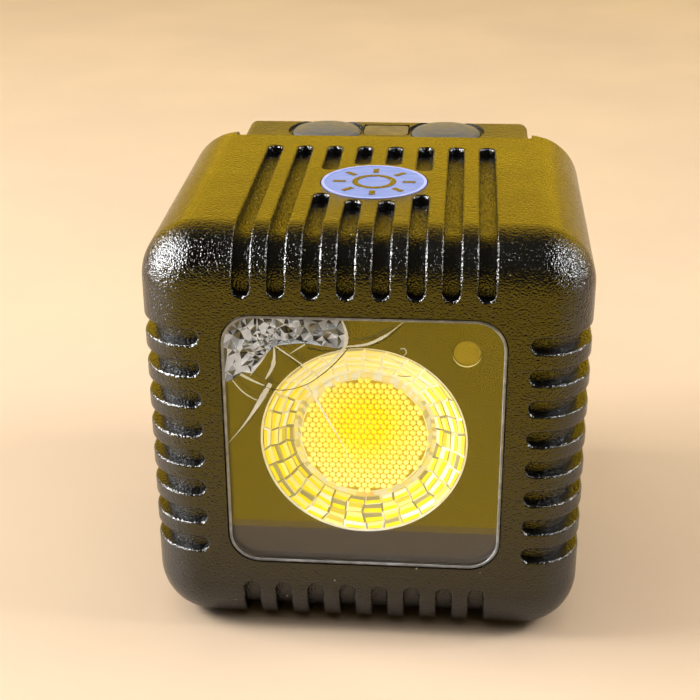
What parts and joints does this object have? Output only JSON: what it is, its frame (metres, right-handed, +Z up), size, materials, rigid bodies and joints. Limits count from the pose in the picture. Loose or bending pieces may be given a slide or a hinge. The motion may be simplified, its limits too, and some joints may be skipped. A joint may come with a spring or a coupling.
{
  "type": "compact cube light",
  "caption": "Pocket cube LED light: ribbed metal cube with a square glass window, moulded lens, rear cover with press buttons, screwed port cap and a tripod thread.",
  "frame": {"origin": "middle of the underside, under the centre of the whole light", "axes": "+X to the right of the window, +Y from the window to the rear cover, +Z up"},
  "size_m": [0.0382, 0.0382, 0.0381],
  "materials": {
    "housing_paint": "fine-textured gloss black paint on cast aluminium",
    "window_glass": "clear tempered glass, polished",
    "mask_black": "gloss black print",
    "seal_rubber": "matt silicone",
    "lens_clear": "clear moulded optical plastic",
    "black_plastic": "moulded, satin",
    "board_white": "white solder mask on aluminium",
    "ceramic": "fired white ceramic and silicone",
    "phosphor": "yellow phosphor gel",
    "steel": "zinc plated",
    "steel_black": "black oxide",
    "pad_grey": "filled silicone",
    "bare_aluminium": "as machined",
    "cell_foil": "laminate pouch foil",
    "lead_insulation": "silicone insulation",
    "board_green": "glass fibre board with solder mask",
    "plated_steel": "tin plated",
    "button_grey": "satin grey-blue silicone-faced key",
    "indicator_smoke": "smoked translucent plastic",
    "flex_amber": "polyimide film",
    "cover_plastic": "fine-textured black moulding",
    "brass": "machined",
    "badge_blue": "satin periwinkle blue with cut lines"
  },
  "bodies": {
    "housing": {"housing_shell": "housing_paint", "window_glass": "window_glass", "window_mask": "mask_black", "window_gasket": "seal_rubber", "collimator_lens": "lens_clear", "lens_holder": "black_plastic", "led_board": "board_white", "led_emitter": "ceramic", "led_phosphor": "phosphor", "led_dam": "ceramic", "light_guide": "lens_clear", "flash_sensor": "black_plastic", "led_board_screws": "steel", "thermal_pad": "pad_grey", "heat_spreader": "bare_aluminium", "spreader_screws": "steel", "battery_cell": "cell_foil", "battery_pad": "seal_rubber", "battery_leads": "lead_insulation", "led_leads": "lead_insulation", "main_board": "board_green", "board_components": "black_plastic", "usb_socket": "plated_steel", "board_screws": "steel", "button_board": "board_green", "button_board_screws": "steel", "switch_left": "black_plastic", "switch_right": "black_plastic", "indicator_window": "indicator_smoke", "status_lamps": "phosphor", "button_flex": "flex_amber", "rear_cover": "cover_plastic", "cover_gasket": "seal_rubber", "rear_screws": "steel_black", "tripod_insert": "brass", "badge": "badge_blue"},
    "button_left": {"button_left": "button_grey", "button_seal_left": "seal_rubber", "plunger_left": "black_plastic"},
    "button_right": {"button_right": "button_grey", "button_seal_right": "seal_rubber", "plunger_right": "black_plastic"},
    "cap_ring": {"port_cap_ring": "seal_rubber"},
    "port_cap": {"port_cap": "cover_plastic"}
  },
  "joints": [
    {"name": "press_left", "type": "slide", "parent": "housing", "child": "button_left", "axis": [0, 0, -1], "range_m": [0, 0.0004], "stiffness_N_per_m": 2500},
    {"name": "press_right", "type": "slide", "parent": "housing", "child": "button_right", "axis": [0, 0, -1], "range_m": [0, 0.0004], "stiffness_N_per_m": 2500},
    {"name": "cap_draw", "type": "slide", "parent": "housing", "child": "cap_ring", "axis": [0, 1, 0], "range_m": [0, 0.003]},
    {"name": "cap_unscrew", "type": "hinge", "parent": "cap_ring", "child": "port_cap", "pos_m": [0, 0.01595, 0.013], "axis": [0, 1, 0], "range_deg": [0, 1440.1]}
  ],
  "couplings": [
    {"joint": "cap_unscrew", "follows": "cap_draw", "rad_per_m": 8377.6}
  ]
}
